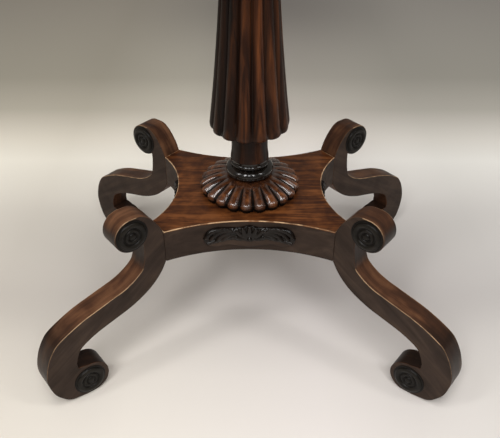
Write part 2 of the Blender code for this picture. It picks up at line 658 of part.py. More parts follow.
platform_core = add_platform()
add_tablets()
add_legs(platform_core)
add_ring()
add_collar()
add_column()
add_top(add_block())
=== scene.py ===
import math

import bmesh
import bpy
import numpy as np
from mathutils import Matrix, Vector
from mathutils.geometry import tessellate_polygon


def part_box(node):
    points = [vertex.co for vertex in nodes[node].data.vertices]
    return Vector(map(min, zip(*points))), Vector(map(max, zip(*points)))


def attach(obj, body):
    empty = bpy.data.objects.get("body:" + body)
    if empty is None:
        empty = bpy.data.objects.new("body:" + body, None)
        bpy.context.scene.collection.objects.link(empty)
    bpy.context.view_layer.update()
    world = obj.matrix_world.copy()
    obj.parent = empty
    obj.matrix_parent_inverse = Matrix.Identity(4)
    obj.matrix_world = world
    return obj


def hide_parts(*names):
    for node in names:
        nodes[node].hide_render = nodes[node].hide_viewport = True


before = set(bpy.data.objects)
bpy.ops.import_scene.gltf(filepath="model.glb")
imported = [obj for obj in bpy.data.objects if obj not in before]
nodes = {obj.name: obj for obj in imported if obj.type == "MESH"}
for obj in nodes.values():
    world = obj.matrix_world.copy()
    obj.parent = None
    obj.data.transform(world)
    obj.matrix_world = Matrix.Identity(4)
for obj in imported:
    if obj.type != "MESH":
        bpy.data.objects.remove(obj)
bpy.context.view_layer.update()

MM = 0.001

# Sizes in metres, as the solids have them
PLATFORM_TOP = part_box("platform_top_veneer")[1].z
PLATFORM_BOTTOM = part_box("platform")[0].z
PLATFORM_THICKNESS = PLATFORM_TOP - PLATFORM_BOTTOM
PLATFORM_HALF_CHORD = 0.097
FRONT_APOTHEM = 0.0731
SIDE_APOTHEM = 0.090
VENEER_THICKNESS = 0.0015
GLUE_GAP = 0.0003
TENON_RADIUS = 0.015
LEG_TURN_DEG = 38.75
LEG_THICKNESS = 0.0275
LEG_REACH = 0.165
STEM_DEPTH = 0.0256
VOLUTE_RADIUS = 0.021
VOLUTE_OUT = 0.0392
VOLUTE_RISE = 0.0131
FOOT_VOLUTE_RADIUS = 0.0227
FOOT_VOLUTE_OUT = 0.115
FOOT_ROUNDEL_OUT = 0.117
FOOT_FLAT_CUT = 0.001
ROUNDEL_RADIUS = 0.0175
ROUNDEL_HEIGHT = 0.003
FRONT_TABLET_HALF_LENGTH = 0.055
SIDE_TABLET_HALF_LENGTH = 0.036
TABLET_HALF_HEIGHT = 0.016
TABLET_THICKNESS = 0.006
TABLET_DROP = 0.0215
COLLAR_RADIUS = 0.0615
COLLAR_TOP_RADIUS = 0.029
GADROON_COUNT = 22
GADROON_TURN_DEG = -3.9
RING_RADIUS = 0.0292
RING_ROLL_RADIUS = 0.0072
RING_BEAD_RADIUS = 0.0238
COLUMN_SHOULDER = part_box("neck_ring")[1].z + GLUE_GAP
COLUMN_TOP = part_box("tilt_block")[0].z - GLUE_GAP
NECK_RADIUS = 0.0216
NECK_LENGTH = 0.0352
WIDEST_RADIUS = 0.047
WIDEST_RISE = 0.012
WAIST_RADIUS = 0.024
FLARE_POWER = 2.02
CAPITAL_RADIUS = 0.045
CAPITAL_HEIGHT = 0.0354
BLOCK_TENON_RADIUS = 0.014
BLOCK_TENON_LENGTH = 0.024
REED_COUNT = 14
REED_DEPTH = 0.0070
REED_TURN_DEG = 4.5
TOP_CORNER_RADIUS = 0.045

# Sizes that follow from these
LEG_COS = math.cos(math.radians(LEG_TURN_DEG))
LEG_SIN = math.sin(math.radians(LEG_TURN_DEG))
CORNER_DISTANCE = (PLATFORM_HALF_CHORD + LEG_THICKNESS / 2 * LEG_SIN) / LEG_COS
LEG_SEAT = CORNER_DISTANCE + GLUE_GAP
SIDE_HALF_CHORD = CORNER_DISTANCE * LEG_SIN - LEG_THICKNESS / 2 * LEG_COS
FRONT_SAGITTA = CORNER_DISTANCE * LEG_SIN + LEG_THICKNESS / 2 * LEG_COS - FRONT_APOTHEM
SIDE_SAGITTA = CORNER_DISTANCE * LEG_COS + LEG_THICKNESS / 2 * LEG_SIN - SIDE_APOTHEM
FRONT_RADIUS = (PLATFORM_HALF_CHORD ** 2 + FRONT_SAGITTA ** 2) / (2 * FRONT_SAGITTA)
SIDE_RADIUS = (SIDE_HALF_CHORD ** 2 + SIDE_SAGITTA ** 2) / (2 * SIDE_SAGITTA)
TOP_ROLL_HEIGHT = PLATFORM_TOP + VOLUTE_RISE
FOOT_ROLL_HEIGHT = FOOT_VOLUTE_RADIUS - FOOT_FLAT_CUT
BORE_RADIUS = TENON_RADIUS + GLUE_GAP
REEDS_BOTTOM = COLUMN_SHOULDER + NECK_LENGTH
WIDEST_HEIGHT = REEDS_BOTTOM + WIDEST_RISE
REEDS_TOP = COLUMN_TOP - CAPITAL_HEIGHT
LEG_TURNS = {"front_right": -LEG_TURN_DEG, "back_right": LEG_TURN_DEG,
             "back_left": 180 - LEG_TURN_DEG, "front_left": 180 + LEG_TURN_DEG}
# each hollow side: its turn, half chord, apothem, radius and its tablet's half length
LONG_SIDE = (PLATFORM_HALF_CHORD, FRONT_APOTHEM, FRONT_RADIUS, FRONT_TABLET_HALF_LENGTH)
SHORT_SIDE = (SIDE_HALF_CHORD, SIDE_APOTHEM, SIDE_RADIUS, SIDE_TABLET_HALF_LENGTH)
SIDES = {"front": (0, LONG_SIDE), "right": (90, SHORT_SIDE),
         "back": (180, LONG_SIDE), "left": (270, SHORT_SIDE)}

# Sizes of carving and finish that only this script gives
CORE_ARRIS = 0.0006
VENEER_ARRIS = 0.0008
LEG_ARRIS = 0.0007
BLOCK_ARRIS = 0.0012
BRASS_ARRIS = 0.0007
ROUNDEL_LIP = 1.12          # share of the roundel's radius that its thin lip reaches
RING_ROLL_EASE = 0.0006
GADROON_DEPTH = 0.0052
GADROON_RUN = 0.024         # from the collar's top to where the gadroons are full
GROOVE_SHARE = 0.66         # more painted shade than this gives a face the groove wood
LOBE_STEPS = 14             # facets across one reed or gadroon
LOBE_POWER = 2.2
REED_ROWS = 44
TABLET_COLUMNS = 161
TABLET_ROWS = 37
TABLET_GROUND_MM = 0.8      # height of the ground that the leaves stand on
TABLET_RIM_MM = 1.2         # width over which the carving falls to its ground at the rim
LEAF_STEPS = 28
VEIN_DEPTH_MM = 0.5
VEIN_WIDTH_MM = 0.55


# Materials

PORE_MM = (6.0, 0.5)        # length and width: wider than real pores, so that they show
RUB_PATCH_MM = 100 / 7      # size of the patches in which polish is rubbed off
STAIN_MM = 50 / 7           # size of the stains on metal
PORE_TONE = "#160b07"
WORN_TONE = "#d9b48c"
# near-black tone of the painted shade
SHADE_TONE = "#0d0907"


def hex_colour(code):
    """Linear colour of an sRGB hex code."""
    shares = [int(code[i:i + 2], 16) / 255 for i in (1, 3, 5)]
    return [c / 12.92 if c <= 0.04045 else ((c + 0.055) / 1.055) ** 2.4 for c in shares] + [1.0]


def add(tree, kind, inputs=None, stops=None, **settings):
    """Adds a node; each input gets a value or another node's output, a ramp gets its stops."""
    made = tree.nodes.new(kind)
    for key, value in settings.items():
        setattr(made, key, value)
    for key, value in (inputs or {}).items():
        if isinstance(value, bpy.types.NodeSocket):
            tree.links.new(value, made.inputs[key])
        else:
            made.inputs[key].default_value = value
    if stops:
        ramp = made.color_ramp.elements
        while len(ramp) < len(stops):
            ramp.new(0.5)
        for element, (place, colour) in zip(ramp, stops):
            element.position = place
            element.color = hex_colour(colour)
    return made


def new_material(name):
    """Empty material and its node tree."""
    material = bpy.data.materials.new(name)
    material.use_nodes = True
    material.node_tree.nodes.clear()
    return material, material.node_tree


def grain_streaks(tree, place, long_mm, wide_mm, axis=0, detail=1.0, roughness=0.5, distortion=0.0):
    """Noise drawn out along one axis into streaks of a real length and width."""
    share = [1 / (wide_mm * MM)] * 3
    share[axis] = 1 / (long_mm * MM)
    drawn = add(tree, "ShaderNodeVectorMath", {0: place, 1: share}, operation="MULTIPLY").outputs[0]
    return add(tree, "ShaderNodeTexNoise", {"Vector": drawn, "Scale": 1.0, "Detail": detail,
               "Roughness": roughness, "Distortion": distortion}).outputs["Fac"]


def rosewood(name, stops, rough, gloss, coat, streak_mm=8.0, run_mm=180.0, blotch=0.5, fine=0.25, pore=0.3):
    """Polished rosewood: wavy streaks and clouds from near black to amber, short dark pores,
    arrises rubbed pale by hands, and painted shade in the hollows and on parts turned from the lamps."""
    material, tree = new_material(name)
    grain = add(tree, "ShaderNodeAttribute", attribute_name="grain").outputs["Vector"]
    wear = add(tree, "ShaderNodeAttribute", attribute_name="wear").outputs["Fac"]
    recess = add(tree, "ShaderNodeAttribute", attribute_name="recess").outputs["Fac"]
    streaks = grain_streaks(tree, grain, run_mm, streak_mm, detail=4.0, roughness=0.55, distortion=0.9)
    lines = grain_streaks(tree, grain, run_mm * 0.35, streak_mm * 0.2,
                          detail=2.0, roughness=0.55, distortion=0.4)
    clouds = grain_streaks(tree, grain, run_mm * 0.3, streak_mm * 3.2,
                           detail=3.0, roughness=0.55, distortion=0.3)
    pores = grain_streaks(tree, grain, *PORE_MM, roughness=0.55)
    figure = add(tree, "ShaderNodeMath", {0: lines, 1: fine, 2: streaks}, operation="MULTIPLY_ADD").outputs[0]
    figure = add(tree, "ShaderNodeMath", {0: clouds, 1: blotch, 2: figure},
                 operation="MULTIPLY_ADD").outputs[0]
    middle = (fine + blotch) / 2
    figure = add(tree, "ShaderNodeMath", {0: figure, 1: middle}, operation="SUBTRACT").outputs[0]
    colour = add(tree, "ShaderNodeValToRGB", {"Fac": figure}, stops).outputs["Color"]
    patches = add(tree, "ShaderNodeTexNoise", {"Vector": grain, "Scale": 1 / (RUB_PATCH_MM * MM),
                  "Detail": 4.0}).outputs["Fac"]
    open_pores = add(tree, "ShaderNodeMapRange", {0: pores, 1: 0.58, 2: 0.75, 3: 0.0, 4: pore}).outputs[0]
    rubbed = add(tree, "ShaderNodeMapRange", {0: patches, 1: 0.42, 2: 0.60, 3: 0.18, 4: 1.0}).outputs[0]
    rubbed = add(tree, "ShaderNodeMath", {0: rubbed, 1: wear}, operation="MULTIPLY").outputs[0]
    # pores, wear, then painted shade: the colour darkens towards a near-black tone as far as each point's
    # shade value says
    for share, tone in ((open_pores, PORE_TONE), (rubbed, WORN_TONE), (recess, SHADE_TONE)):
        colour = add(tree, "ShaderNodeMix", {0: share, 6: colour, 7: hex_colour(tone)},
                     data_type="RGBA").outputs[2]
    dull = add(tree, "ShaderNodeMapRange", {0: patches, 1: 0.3, 2: 0.7, 3: rough - 0.05,
               4: rough + 0.08}).outputs[0]
    bump = add(tree, "ShaderNodeBump", {"Strength": 0.1, "Distance": 0.0003, "Height": pores}, invert=True)
    shader = add(tree, "ShaderNodeBsdfPrincipled", {"Base Color": colour, "Roughness": dull,
                 "Specular IOR Level": gloss, "Coat Weight": coat, "Coat Roughness": 0.10,
                 "Normal": bump.outputs[0]})
    add(tree, "ShaderNodeOutputMaterial", {"Surface": shader.outputs[0]})
    return material


def plain_wood(name, dark, light, axis, rough):
    """Secondary wood: straight grain along an axis, hardly any sheen, and open pores, wider than
    real ones so that they show."""
    material, tree = new_material(name)
    place = add(tree, "ShaderNodeTexCoord").outputs["Object"]
    bands = grain_streaks(tree, place, 160.0, 6.0, axis, detail=5.0, distortion=0.5)
    pores = grain_streaks(tree, place, 9.0, 0.6, axis)
    colour = add(tree, "ShaderNodeValToRGB", {"Fac": bands}, [(0.35, dark), (0.65, light)]).outputs[0]
    open_pores = add(tree, "ShaderNodeMapRange", {0: pores, 1: 0.58, 2: 0.70, 3: 0.0, 4: 0.5}).outputs[0]
    colour = add(tree, "ShaderNodeMix", {0: open_pores, 6: colour, 7: hex_colour("#24130c")},
                 data_type="RGBA").outputs[2]
    bump = add(tree, "ShaderNodeBump", {"Strength": 0.2, "Distance": 0.0004, "Height": pores}, invert=True)
    shader = add(tree, "ShaderNodeBsdfPrincipled", {"Base Color": colour, "Roughness": rough, "IOR": 1.5,
                 "Normal": bump.outputs[0]})
    add(tree, "ShaderNodeOutputMaterial", {"Surface": shader.outputs[0]})
    return material


def old_metal(name, bright, stained, rough):
    """Metal handled for years: clean in places, brown and duller in clouds, with file marks that are
    drawn wider than real ones so that they show."""
    material, tree = new_material(name)
    place = add(tree, "ShaderNodeTexCoord").outputs["Object"]
    clouds = add(tree, "ShaderNodeTexNoise", {"Vector": place, "Scale": 1 / (STAIN_MM * MM),
                 "Detail": 4.0}).outputs["Fac"]
    marks = grain_streaks(tree, place, 12.0, 0.5, axis=1)
    colour = add(tree, "ShaderNodeValToRGB", {"Fac": clouds}, [(0.35, stained), (0.65, bright)]).outputs[0]
    dull = add(tree, "ShaderNodeMapRange", {0: clouds, 1: 0.3, 2: 0.7, 3: rough + 0.15, 4: rough}).outputs[0]
    bump = add(tree, "ShaderNodeBump", {"Strength": 0.15, "Distance": 0.0002, "Height": marks})
    shader = add(tree, "ShaderNodeBsdfPrincipled", {"Base Color": colour, "Roughness": dull,
                 "Metallic": 1.0, "Normal": bump.outputs[0]})
    add(tree, "ShaderNodeOutputMaterial", {"Surface": shader.outputs[0]})
    return material


# Bands of the legs, French polished: warm brown in soft clouds, with a low sheen
BAND_WOOD = rosewood(
    "rosewood_band_french_polished",
    [(0.30, "#38241a"), (0.45, "#4b3021"), (0.56, "#5f3f2b"), (0.72, "#745038")],
    rough=0.38, gloss=0.14, coat=0.03, streak_mm=15.0, run_mm=90.0, blotch=0.5, fine=0.15)
# Sawn faces of the legs and the platform, waxed: greyer and flatter than the bands, and darker, partly as
# painted shade of the upright faces
SIDE_WOOD = rosewood(
    "rosewood_sawn_face_waxed", [(0.30, "#2d231d"), (0.50, "#382c25"), (0.70, "#44362d")],
    rough=0.48, gloss=0.12, coat=0.0, streak_mm=14.0, run_mm=120.0, blotch=0.6, fine=0.05, pore=0.15)
# Column, French polished: long red-brown and near-black streaks that run with the reeds
COLUMN_WOOD = rosewood(
    "rosewood_reeded_french_polished",
    [(0.30, "#1a0c07"), (0.46, "#3e2113"), (0.58, "#65391f"), (0.76, "#8c522b")],
    rough=0.38, gloss=0.15, coat=0.04, streak_mm=11.0, run_mm=420.0, blotch=0.25, fine=0.12, pore=0.2)
VENEER_TONES = [(0.27, "#381c0f"), (0.42, "#4c2914"), (0.55, "#60361a"), (0.74, "#7e4b27")]
# Platform's veneer, French polished: a short, lively figure in orange browns
VENEER_WOOD = rosewood(
    "rosewood_veneer_french_polished", VENEER_TONES,
    rough=0.36, gloss=0.18, coat=0.05, streak_mm=6.0, run_mm=65.0, blotch=0.8, fine=0.3)
# Top's veneer, French polished: long straight stripes in the same tones
TOP_WOOD = rosewood(
    "rosewood_top_veneer_french_polished", VENEER_TONES,
    rough=0.36, gloss=0.18, coat=0.05, streak_mm=13.0, run_mm=380.0, blotch=0.4, fine=0.3)
# Crests of the collar, carved and polished: brown under sharp lights
CARVED_WOOD = rosewood(
    "rosewood_carved_dark_polish", [(0.30, "#301a0f"), (0.50, "#59321b"), (0.72, "#85502b")],
    rough=0.24, gloss=0.4, coat=1.0, streak_mm=10.0, run_mm=40.0, pore=0.1)
# Grooves between the crests: the carved wood as painted shade, nearly black, without a shine
GROOVE_SHADE_WOOD = rosewood(
    "rosewood_carved_hollow_painted_shade", [(0.30, "#150c07"), (0.50, "#25160d"), (0.72, "#382214")],
    rough=0.50, gloss=0.1, coat=0.0, streak_mm=10.0, run_mm=40.0, pore=0.1)
# Ring, turned, blackened and polished: pale lines of light on near black
RING_WOOD = rosewood(
    "rosewood_turned_black_polished", [(0.30, "#0b0806"), (0.50, "#15100c"), (0.72, "#221913")],
    rough=0.24, gloss=0.15, coat=0.80, streak_mm=10.0, run_mm=40.0, pore=0.1)
# Tablets, carved and blackened: dark leaves with faint lights on their ridges
TABLET_WOOD = rosewood(
    "rosewood_carved_blackened", [(0.30, "#0f0b09"), (0.50, "#18120e"), (0.72, "#251c16")],
    rough=0.24, gloss=0.12, coat=0.20, streak_mm=10.0, run_mm=40.0, pore=0.1)
# Roundels, turned and stained black: dull, so that their rings show by their edges
ROUNDEL_WOOD = rosewood(
    "rosewood_turned_black_stained", [(0.30, "#110f0c"), (0.50, "#1a1713"), (0.72, "#25211c")],
    rough=0.32, gloss=0.12, coat=0.05, pore=0.1)
# Block and bearers: a plain red brown, almost dull
MAHOGANY = plain_wood("mahogany_planed_and_oiled", "#40231a", "#6b3d28", axis=1, rough=0.50)
# Dowels and wedge: pale and dry
BEECH = plain_wood("beech_split_bare", "#9a7652", "#b8946a", axis=2, rough=0.65)
# Pivots, bolt and plate: yellow, browner in clouds, softly shiny
BRASS = old_metal("brass_cast_and_filed", "#c2a05a", "#7a5f34", rough=0.30)
# Screws: dark grey, hardly shiny
IRON = old_metal("iron_hand_cut", "#57534f", "#332d29", rough=0.48)


# Mesh tools

def arc(centre, radius, start_deg, end_deg, steps):
    """Points of an arc, both ends included."""
    angles = [math.radians(start_deg + (end_deg - start_deg) * i / steps) for i in range(steps + 1)]
    return [(centre[0] + radius * math.cos(a), centre[1] + radius * math.sin(a)) for a in angles]


def smooth(points, steps):
    """Even curve through a few points, as a Catmull-Rom spline."""
    knots = [Vector(point) for point in points]
    knots = [2 * knots[0] - knots[1]] + knots + [2 * knots[-1] - knots[-2]]
    line = []
    for a, b, c, d in zip(knots, knots[1:], knots[2:], knots[3:]):
        for i in range(steps):
            t = i / steps
            bend = (2 * a - 5 * b + 4 * c - d) * t * t + (3 * b - a - 3 * c + d) * t ** 3
            line.append(tuple((2 * b + (c - a) * t + bend) / 2))
    return line + [tuple(points[-1])]


def spread(shares, width, base, height):
    """Points from shares of a width, and of a height above a base."""
    return [(width * across, base + height * up) for across, up in shares]


def fade(values, start, end):
    """0 before start, 1 past end, even in between."""
    return np.clip((values - start) / (end - start), 0, 1)


def seat(turn_deg, x=0.0, y=0.0, z=0.0):
    """Place at a distance from the column, turned about its axis."""
    return Matrix.Rotation(math.radians(turn_deg), 4, "Z") @ Matrix.Translation((x, y, z))


def add_piece(name, points, faces, materials, replaced, slot, body="base", face_materials=None,
              place=None, sharp_deg=40, **layers):
    """Makes a mesh piece that stands for CAD nodes, with its named point values."""
    mesh = bpy.data.meshes.new(name)
    mesh.from_pydata([tuple(point) for point in points], [], faces)
    for label, values in layers.items():
        values = np.asarray(values, np.float32)
        vector = values.ndim == 2
        layer = mesh.attributes.new(label, "FLOAT_VECTOR" if vector else "FLOAT", "POINT")
        layer.data.foreach_set("vector" if vector else "value", values.ravel())
    for material in materials:
        mesh.materials.append(material)
    if face_materials is not None:
        mesh.polygons.foreach_set("material_index", face_materials)
    work = bmesh.new()
    work.from_mesh(mesh)
    bmesh.ops.recalc_face_normals(work, faces=work.faces)
    work.to_mesh(mesh)
    work.free()
    mesh.shade_smooth()
    mesh.set_sharp_from_angle(angle=math.radians(sharp_deg))
    return hang_piece(name, mesh, replaced, body, place)


def hang_piece(name, mesh, replaced, body="base", place=None):
    """Puts a finished mesh in the scene, on its body and for its nodes."""
    piece = bpy.data.objects.new(name, mesh)
    bpy.context.scene.collection.objects.link(piece)
    if place is not None:
        piece.matrix_world = place
    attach(piece, body)
    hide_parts(*replaced)
    return piece


def arris_layers(thickness, arris, lower=True):
    """Steps across a sawn piece's thickness: (height, inset, wear), its arrises rounded and rubbed."""
    half = thickness / 2
    upper = [(half, arris * 1.6, 0.0), (half, arris, 0.3), (half - arris * 0.3, arris * 0.3, 1.0),
             (half - arris, 0.0, 0.3), (half - arris * 1.6, 0.0, 0.0)]
    if not lower:
        return upper + [(-half, 0.0, 0.0)]
    return upper + [(-height, inset, wear) for height, inset, wear in reversed(upper)]


def sawn(outline, layers, hole=(), rub=None):
    """Flat piece sawn to an outline in (x, z) with its thickness along y. rub(line, outward) gives
    how much of the wear each place of the outline gets. Returns points, faces, each face's kind
    (0 edge band, 1 flat face), and each point's wear and its distance along the outline."""
    line = np.array(outline, float)
    if (line[:, 0] * np.roll(line[:, 1], -1) - line[:, 1] * np.roll(line[:, 0], -1)).sum() < 0:
        line = line[::-1]
    ahead = np.roll(line, -1, 0) - line
    steps = np.linalg.norm(ahead, axis=1)
    outward = np.stack([ahead[:, 1], -ahead[:, 0]], 1) / steps[:, None]
    corner = outward + np.roll(outward, 1, 0)
    corner /= np.linalg.norm(corner, axis=1)[:, None]
    rubbed = rub(line, corner) if rub else np.ones(len(line))
    corner /= np.maximum(0.5, (corner * outward).sum(1))[:, None]
    along = np.concatenate([[0], np.cumsum(steps)[:-1]])
    count = len(line)
    last = len(layers) - 1
    points, faces, kinds, wear, travel = [], [], [], [], []
    for height, inset, worn in layers:
        for (x, z), s, share in zip(line - corner * inset, along, rubbed):
            points.append((x, height, z))
            wear.append(worn * share)
            travel.append(s)
    for row in range(last):
        for i in range(count):
            j = (i + 1) % count
            faces.append((row * count + i, row * count + j, (row + 1) * count + j, (row + 1) * count + i))
            kinds.append(int(row < 2 or row > last - 3))
    hole_starts = []
    for row in (0, last):
        indices = list(range(row * count, (row + 1) * count))
        rings = [[Vector((points[i][0], points[i][2], 0)) for i in indices]]
        if hole:
            hole_starts.append(len(points))
            points += [(x, layers[row][0], z) for x, z in hole]
            wear += [0.0] * len(hole)
            travel += [0.0] * len(hole)
            indices += range(hole_starts[-1], len(points))
            rings.append([Vector((x, z, 0)) for x, z in hole])
        for triangle in tessellate_polygon(rings):
            faces.append(tuple(indices[i] for i in triangle))
            kinds.append(1)
    if hole:
        upper, lower = hole_starts
        for i in range(len(hole)):
            j = (i + 1) % len(hole)
            faces.append((upper + i, upper + j, lower + j, lower + i))
            kinds.append(1)
    return np.array(points), faces, kinds, np.array(wear), np.array(travel)


def turned(profile, steps, cut=None, closed=False):
    """Profile of (radius, height) turned about z. cut(row, angle) is the carving depth there,
    taken square to the profile. Returns points, faces, and each point's row and angle."""
    line = np.array(profile, float)
    rows = len(line)
    if closed:
        ahead = np.roll(line, -1, 0) - np.roll(line, 1, 0)
    else:
        ahead = np.gradient(line, axis=0)
    normal = np.stack([-ahead[:, 1], ahead[:, 0]], 1)
    normal /= np.maximum(1e-9, np.linalg.norm(normal, axis=1))[:, None]
    on_axis = line[:, 0] < 1e-7
    points, labels, starts = [], [], []
    for row, (radius, height) in enumerate(line):
        starts.append(len(points))
        for i in range(1 if on_axis[row] else steps):
            angle = 2 * math.pi * i / steps
            depth = cut(row, angle) if cut else 0.0
            r = radius - depth * normal[row, 0]
            points.append((r * math.cos(angle), r * math.sin(angle), height - depth * normal[row, 1]))
            labels.append((row, angle))
    faces = []
    for row in range(rows if closed else rows - 1):
        after = (row + 1) % rows
        a, b = starts[row], starts[after]
        for i in range(steps):
            j = (i + 1) % steps
            if on_axis[row] and on_axis[after]:
                continue
            if on_axis[row]:
                faces.append((a, b + j, b + i))
            elif on_axis[after]:
                faces.append((a + i, a + j, b))
            else:
                faces.append((a + i, a + j, b + j, b + i))
    return np.array(points), faces, labels


def lobe(angle, count, turn):
    """0 on a lobe's crest, 1 in the valley between two lobes, round in between."""
    share = ((angle - turn) * count / (2 * math.pi)) % 1.0
    return abs(2 * share - 1) ** LOBE_POWER


# Platform: hollow sides, a figured veneer on top whose edge is rubbed pale

def platform_outline(steps=36):
    outline = []
    for turn_deg, (half_chord, apothem, radius, _) in SIDES.values():
        half_deg = math.degrees(math.asin(half_chord / radius))
        turn = math.radians(turn_deg)
        for x, y in arc((0, -(apothem + radius)), radius, 90 + half_deg, 90 - half_deg, steps):
            outline.append((x * math.cos(turn) - y * math.sin(turn), x * math.sin(turn) + y * math.cos(turn)))
    return outline


def add_platform_layer(name, bottom, top, layers, wood, slot, wear_share):
    hole = arc((0, 0), BORE_RADIUS, 0, 360, 48)[:-1]
    points, faces, _, wear, _ = sawn(platform_outline(), layers, hole=hole)
    world = np.stack([points[:, 0], points[:, 2], (bottom + top) / 2 + points[:, 1]], 1)
    add_piece(name + "_polished", world, faces, [wood], [name], slot,
              grain=world * np.array([-1.0, 1.0, 1.0]), wear=wear * wear_share)


def add_platform():
    veneer_bottom = PLATFORM_TOP - VENEER_THICKNESS
    core_top = veneer_bottom - GLUE_GAP * 0.2
    add_platform_layer("platform", PLATFORM_BOTTOM, core_top,
                       arris_layers(core_top - PLATFORM_BOTTOM, CORE_ARRIS), SIDE_WOOD, "rosewood", 0.0)
    add_platform_layer("platform_top_veneer", veneer_bottom, PLATFORM_TOP,
                       arris_layers(VENEER_THICKNESS, VENEER_ARRIS, lower=False), VENEER_WOOD,
                       "rosewood_veneer", 2.0)


# Carved tablets: acanthus sprays either side of a small palmette

def leaf(grid, base, bend, tip, width, height):
    """Height over the grid of one carved leaf lobe along a bent spine, with a vein cut down it."""
    share = np.linspace(0, 1, LEAF_STEPS)
    t = share[:, None]
    spine = (1 - t) ** 2 * np.array(base) + 2 * t * (1 - t) * np.array(bend) + t ** 2 * np.array(tip)
    gaps = np.linalg.norm(grid[:, :, None, :] - spine[None, None], axis=3)
    distance = gaps.min(2)
    along = share[gaps.argmin(2)]
    half_width = width * (0.35 + 0.65 * np.sin(np.pi * np.minimum(1, 0.12 + 0.62 * along)))
    across = np.minimum(1, distance / half_width)
    body = height * np.sqrt(1 - across ** 2) * (0.55 + 0.45 * along)
    return body - VEIN_DEPTH_MM * np.exp(-(distance / VEIN_WIDTH_MM) ** 2) * (across < 1)


def tablet_relief(grid):
    """Carving heights in millimetres over a grid of (along, up) in millimetres, both halves alike:
    a fan of leaves over a bead, and fronds that curl outwards from it."""
    grid = np.stack([np.abs(grid[:, :, 0]), grid[:, :, 1]], 2)
    relief = np.full(grid.shape[:2], TABLET_GROUND_MM)
    # each lobe: base, bend, tip, half width and height
    lobes = [((22, 11), (41, 17), (52, 3), 3.4, 4.2), ((21, 9), (36, 12), (46, 0), 3.2, 4.0),
             ((20, 6), (31, 8), (39, -3), 3.0, 3.8), ((19, 3), (27, 4), (32, -3), 2.6, 3.4),
             ((17, 0), (32, -2), (50, -6), 2.4, 3.0),
             ((0, -1), (0, 6), (0, 14.5), 3.2, 4.2), ((1, -1), (7, 4), (8, 13.5), 3.0, 3.8),
             ((2, -1), (12, 1), (15, 9), 3.0, 3.6), ((3, -3), (11, -5), (16, 0), 2.4, 3.0)]
    for base, bend, tip, width, height in lobes:
        relief = np.maximum(relief, 1.0 + leaf(grid, base, bend, tip, width, height))
    # each bead: out, up and radius
    for out, up, size in ((0, -3.0, 2.8), (18.5, 9.5, 2.8)):
        bead = np.hypot(grid[:, :, 0] - out, grid[:, :, 1] - up) / size
        relief = np.maximum(relief, 2.0 + 3.4 * np.sqrt(np.maximum(0, 1 - bead ** 2)) * (bead < 1))
    return relief


def tablet_grid():
    """Front tablet, flat: each column's share of the half length, and along, up and carving height
    over the whole grid."""
    upper = smooth([(0.0, 1.0), (0.22, 0.82), (0.46, 0.88), (0.74, 0.92), (0.92, 0.62), (1.0, 0.05)], 12)
    lower = smooth([(0.0, -1.0), (0.2, -0.88), (0.45, -0.72), (0.74, -0.78), (0.93, -0.50), (1.0, 0.05)], 12)
    crowding = math.pi / 2 * 0.985  # the columns stand closer towards the pointed ends
    along = np.sin(np.linspace(-1, 1, TABLET_COLUMNS) * crowding) / math.sin(crowding)
    high = np.interp(np.abs(along), *zip(*upper))
    low = np.interp(np.abs(along), *zip(*lower))
    high = np.maximum(high, low + 0.02)
    share = np.linspace(0, 1, TABLET_ROWS)
    grid_x = np.repeat(along[:, None], TABLET_ROWS, 1) * FRONT_TABLET_HALF_LENGTH
    grid_z = (low[:, None] + (high - low)[:, None] * share[None]) * TABLET_HALF_HEIGHT
    relief = tablet_relief(np.stack([grid_x, grid_z], 2) / MM)
    from_rim = np.minimum(share, 1 - share)[None] * (high - low)[:, None] * TABLET_HALF_HEIGHT / MM
    from_end = (1 - np.abs(along))[:, None] * FRONT_TABLET_HALF_LENGTH / MM
    edge = np.minimum(1, from_rim / TABLET_RIM_MM) * np.minimum(1, from_end / TABLET_RIM_MM)
    relief = TABLET_GROUND_MM + (relief - TABLET_GROUND_MM) * np.sqrt(edge)
    return along, grid_x, grid_z, np.minimum(relief * MM, TABLET_THICKNESS)


def plate_faces(columns, rows):
    """Faces of a closed plate: a front grid, a back grid numbered after it, and the rim."""
    total = columns * rows
    faces = []
    for i in range(columns - 1):
        for j in range(rows - 1):
            a, b = i * rows + j, (i + 1) * rows + j
            faces += [(a, b, b + 1, a + 1), (total + a + 1, total + b + 1, total + b, total + a)]
        for j in (0, rows - 1):
            a, b = i * rows + j, (i + 1) * rows + j
            faces.append((a, total + a, total + b, b))
    for i in (0, columns - 1):
        for j in range(rows - 1):
            a = i * rows + j
            faces.append((a, a + 1, total + a + 1, total + a))
    return faces


